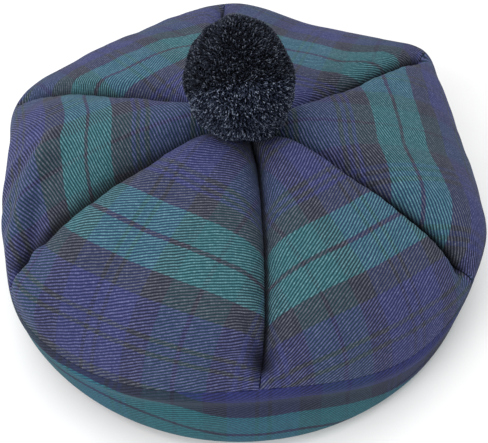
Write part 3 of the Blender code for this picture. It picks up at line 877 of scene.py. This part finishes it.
def wave_along(tree, place, pitch):
    """A wave from 0 to 1 and back over each pitch of a place."""
    add = partial(add_node, tree)
    turns = add("ShaderNodeMath", operation="MULTIPLY", values={1: 2 * pi / pitch}, links={0: place})
    wave = add("ShaderNodeMath", operation="COSINE", links={0: turns})
    return add("ShaderNodeMath", operation="MULTIPLY_ADD", values={1: 0.5, 2: 0.5},
               links={0: wave}).outputs[0]


def wool_twill(name, weft_share, rib_shade, sheen_strength):
    """Wool twill: stripes of two sets of yarn, diagonal ribs with painted shade in their grooves, a
    soft nap of sheen with painted sheen on the crests.
    """
    material, tree, shader = new_material(name)
    add = partial(add_node, tree)
    lay = add("ShaderNodeUVMap", uv_map="cloth lay")
    # The yarn is never quite straight, so every place is stirred by about a tenth of a rib.
    stir = add("ShaderNodeTexNoise", values={"Scale": 160.0, "Detail": 2.0}, links={"Vector": lay})
    centred = add("ShaderNodeVectorMath", operation="SUBTRACT", values={1: (0.5, 0.5, 0.5)},
                  links={0: stir.outputs["Color"]})
    small = add("ShaderNodeVectorMath", operation="SCALE", values={"Scale": YARN_STIR},
                links={0: centred})
    stirred = add("ShaderNodeVectorMath", operation="ADD", links={0: lay, 1: small})
    place = add("ShaderNodeSeparateXYZ", links={0: stirred})
    warp = sett_colours(tree, place.outputs["X"], WARP_CLOSENESS, WARP_COLOURS)
    weft = sett_colours(tree, place.outputs["Y"], 1.0, WEFT_COLOURS)
    # Twill ribs: the crosswise yarn lies on top for part of each rib, the lengthways yarn between.
    ribs = add("ShaderNodeMapping", vector_type="POINT",
               values={"Rotation": (0, 0, radians(-RIB_TURN))}, links={"Vector": stirred})
    rib_place = add("ShaderNodeSeparateXYZ", links={0: ribs})
    rib = wave_along(tree, rib_place.outputs["X"], RIB_PITCH)
    on_top = add("ShaderNodeMapRange", interpolation_type="SMOOTHSTEP",
                 values={"From Min": 0.88 - weft_share, "From Max": 1.12 - weft_share,
                         "To Min": 0.40, "To Max": 0.88}, links={"Value": rib})
    woven = add("ShaderNodeMix", data_type="RGBA",
                links={0: on_top, 6: warp, 7: weft})
    # Each rib is a row of short floats, each a dot of painted highlight, and no two are pulled quite
    # alike.
    thread = wave_along(tree, rib_place.outputs["Y"], THREAD_PITCH)
    float_places = add("ShaderNodeVectorMath", operation="DIVIDE",
                       values={1: (RIB_PITCH, THREAD_PITCH, 1.0)},
                       links={0: ribs})
    to_middle = add("ShaderNodeVectorMath", operation="ADD", values={1: (0.5, 0.5, 0.5)},
                    links={0: float_places})
    each_float = add("ShaderNodeVectorMath", operation="FLOOR", links={0: to_middle})
    pull = add("ShaderNodeTexWhiteNoise", noise_dimensions="2D", links={"Vector": each_float})
    dot = add("ShaderNodeMath", operation="MULTIPLY_ADD",
              values={1: FLOAT_SPREAD, 2: 1 - FLOAT_SPREAD / 2},
              links={0: pull.outputs["Value"]})
    dotted = add("ShaderNodeMath", operation="MULTIPLY_ADD", values={1: FLOAT_DOT, 2: FLOAT_END},
                 links={0: thread})
    # Painted shade and highlight: each rib's tone is darker in its grooves and lighter on its crest.
    ridge = add("ShaderNodeMath", operation="MULTIPLY_ADD", values={1: 2 * rib_shade, 2: 1 - rib_shade},
                links={0: rib})
    shade = add("ShaderNodeMath", operation="MULTIPLY", links={0: ridge, 1: dotted})
    crest = add("ShaderNodeMath", operation="MULTIPLY", links={0: shade, 1: dot})
    # Heather: fibres of slightly different shades in every yarn.
    fleck = add("ShaderNodeTexNoise", values={"Scale": 900.0, "Detail": 3.0, "Roughness": 0.7},
                links={"Vector": lay})
    heather = add("ShaderNodeMapRange",
                  values={"From Min": 0.3, "From Max": 0.7, "To Min": HEATHER[0], "To Max": HEATHER[1]},
                  links={"Value": fleck.outputs["Fac"]})
    tone = add("ShaderNodeMath", operation="MULTIPLY", links={0: crest, 1: heather})
    # Painted shade darkens the colour in the grooves, and a painted sheen of pale loose fibres lies on
    # the crests.
    groove_shaded_tone = add("ShaderNodeMath", operation="MULTIPLY_ADD",
                   values={1: GROOVE_SHADE, 2: 1 - GROOVE_SHADE},
                   links={0: tone})
    dyed = add("ShaderNodeVectorMath", operation="SCALE",
               links={0: woven.outputs[2], "Scale": groove_shaded_tone})
    sheen_amount = add("ShaderNodeMath", operation="MULTIPLY", links={0: tone, 1: tone})
    with_painted_sheen = add("ShaderNodeVectorMath", operation="MULTIPLY_ADD",
                 values={1: [sheen_strength * light for light in PAINTED_SHEEN]},
                 links={0: sheen_amount, 2: dyed})
    # Painted shade: cloth that is turned into a seam is painted darker than its shape and the light
    # leave it.
    painted_seam_shade = add("ShaderNodeAttribute", attribute_name="seam shade")
    lit = add("ShaderNodeMath", operation="MULTIPLY_ADD", values={1: -SEAM_DARK, 2: 1.0},
              links={0: painted_seam_shade.outputs["Fac"]})
    final = add("ShaderNodeVectorMath", operation="SCALE", links={0: with_painted_sheen, "Scale": lit})
    tree.links.new(final.outputs[0], shader.inputs["Base Color"])
    bump = add("ShaderNodeBump", values={"Strength": 0.6, "Distance": TWILL_HEIGHT},
               links={"Height": crest})
    tree.links.new(bump.outputs[0], shader.inputs["Normal"])
    set_surface(shader, {"Roughness": 0.88, "Specular IOR Level": 0.25, "Sheen Weight": 0.08,
                         "Sheen Roughness": 0.55, "Sheen Tint": colour("#aab4d8")})
    return material


def band_cloth():
    """Plain black band cloth with a fine upright rib."""
    material, tree, shader = new_material("ribbed band cloth")
    add = partial(add_node, tree)
    lay = add("ShaderNodeUVMap", uv_map="cloth lay")
    place = add("ShaderNodeSeparateXYZ", links={0: lay})
    rib = wave_along(tree, place.outputs["X"], BAND_RIB_PITCH)
    # Painted shade: the colour is darker in the grooves between the ribs and lighter on their crests.
    tone = add("ShaderNodeMix", data_type="RGBA", values={6: colour("#0c0d12"), 7: colour("#24262f")},
               links={0: rib})
    tree.links.new(tone.outputs[2], shader.inputs["Base Color"])
    bump = add("ShaderNodeBump", values={"Strength": 0.5, "Distance": BAND_RIB_HEIGHT},
               links={"Height": rib})
    tree.links.new(bump.outputs[0], shader.inputs["Normal"])
    set_surface(shader, {"Roughness": 0.9, "Sheen Weight": 0.15})
    return material


def cut_yarn():
    """Cut wool yarn, nearly black, with greyer ends here and there, darker above the toorie's parting
    and lighter below it.
    """
    material, tree, shader = new_material("cut wool yarn")
    add = partial(add_node, tree)
    shade = add("ShaderNodeAttribute", attribute_name="shade")
    ends = add("ShaderNodeValToRGB", links={0: shade.outputs["Fac"]})
    ramp = ends.color_ramp
    ramp.elements[0].color = colour("#070b1a")
    ramp.elements[1].color = colour("#7c8596")
    for position, code in ((0.45, "#121827"), (0.72, "#272e3f"), (0.90, "#454d5f")):
        ramp.elements.new(position).color = colour(code)
    # The pile is coloured darker above the slanting parting and lighter below it.
    height = add("ShaderNodeAttribute", attribute_name="height")
    darker_above_parting = add("ShaderNodeMapRange", values={"From Min": PARTING - 0.05, "From Max": PARTING + 0.06,
                                                   "To Min": 1.36, "To Max": 0.48},
               links={"Value": height.outputs["Fac"]})
    coords = add("ShaderNodeTexCoord")
    fuzz = add("ShaderNodeTexNoise", values={"Scale": 2500.0, "Detail": 2.0},
               links={"Vector": coords.outputs["Object"]})
    uneven = add("ShaderNodeMapRange", values={"To Min": 0.6, "To Max": 1.4},
                 links={"Value": fuzz.outputs["Fac"]})
    tone = add("ShaderNodeMath", operation="MULTIPLY", links={0: uneven, 1: darker_above_parting})
    final = add("ShaderNodeVectorMath", operation="SCALE", links={0: ends, "Scale": tone})
    tree.links.new(final.outputs[0], shader.inputs["Base Color"])
    set_surface(shader, {"Roughness": 0.9, "Specular IOR Level": 0.2, "Sheen Weight": 0.06,
                         "Sheen Roughness": 0.4, "Sheen Tint": colour("#9aa2b8")})
    return material


def plain_material(name, code, roughness):
    material, tree, shader = new_material(name)
    add = partial(add_node, tree)
    coords = add("ShaderNodeTexCoord")
    grain = add("ShaderNodeTexNoise", values={"Scale": 40.0, "Detail": 4.0},
                links={"Vector": coords.outputs["Object"]})
    tone = add("ShaderNodeMix", data_type="RGBA", values={6: colour(code)},
               links={0: grain.outputs["Fac"]})
    tone.inputs[7].default_value = [min(1, 1.03 * c) for c in colour(code)]
    tree.links.new(tone.outputs[2], shader.inputs["Base Color"])
    set_surface(shader, {"Roughness": roughness})
    return material


# ---- the finished hat ----
def finish_piece(piece, node, material):
    if material is not None:
        piece.data.materials.clear()
        piece.data.materials.append(material)
    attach(piece, "root")
    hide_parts(node)


def dress_crown(twill):
    for number, gore in enumerate(GORES):
        piece = make_fine_gore(number)
        thicken(piece, GORE_CLOTH)
        finish_piece(piece, gore.name, twill)


def make_floor():
    bpy.ops.mesh.primitive_plane_add(size=FLOOR_SIZE, location=(0, 0, 0))
    floor = bpy.context.object
    floor.name = "floor"
    floor.data.materials.append(plain_material("pale paper floor", "#f2f2f2", 0.9))


def add_area_light(name, place, aim, size, power):
    data = bpy.data.lights.new(name, "AREA")
    data.shape = "DISK"
    data.size = size
    data.energy = power
    light = bpy.data.objects.new(name, data)
    light.location = place
    way = np.array(aim) - np.array(place)
    light.rotation_mode = "QUATERNION"
    light.rotation_quaternion = Vector(way).to_track_quat("-Z", "Y")
    bpy.context.scene.collection.objects.link(light)


def light_studio():
    world = bpy.data.worlds.new("soft room")
    world.use_nodes = True
    background = world.node_tree.nodes["Background"]
    background.inputs["Color"].default_value = (1, 1, 1, 1)
    background.inputs["Strength"].default_value = ROOM_LIGHT
    bpy.context.scene.world = world
    for light in LIGHTS:
        add_area_light(*light)


def place_camera():
    data = bpy.data.cameras.new("camera")
    data.lens = CAMERA_LENS
    data.sensor_width = CAMERA_SENSOR
    data.clip_start = 0.01
    camera = bpy.data.objects.new("camera", data)
    tilt = radians(CAMERA_HEIGHT)
    camera.location = (CAMERA_AIM[0], CAMERA_AIM[1] - CAMERA_DISTANCE * cos(tilt),
                       CAMERA_AIM[2] + CAMERA_DISTANCE * sin(tilt))
    camera.rotation_euler = (pi / 2 - tilt, 0, 0)
    bpy.context.scene.collection.objects.link(camera)
    bpy.context.scene.camera = camera


make_floor()
light_studio()
place_camera()
bpy.context.scene.view_settings.view_transform = "Standard"

twill = wool_twill("wool twill", weft_share=WEFT_SHARE, rib_shade=0.86, sheen_strength=1.0)
ring_twill = wool_twill("wool twill, pressed", weft_share=0.86, rib_shade=0.62, sheen_strength=0.10)
ring = make_fine_ring()
thicken(ring, CLOTH)
finish_piece(ring, "side_ring", ring_twill)
dress_crown(twill)
band = make_fine_band()
thicken(band, BAND_CLOTH)
finish_piece(band, "head_band", band_cloth())

yarn = cut_yarn()
core = make_toorie_core()
yarn_end = bpy.data.objects.new("yarn_end", yarn_end_mesh())
tree = pile_tree(yarn)
for name, part, seed in PILE_PARTS:
    pile = make_pile(core, yarn_end, name, part, seed, tree)
    finish_piece(pile, "toorie", None)
finish_piece(core, "toorie", yarn)
bpy.data.objects.remove(yarn_end)
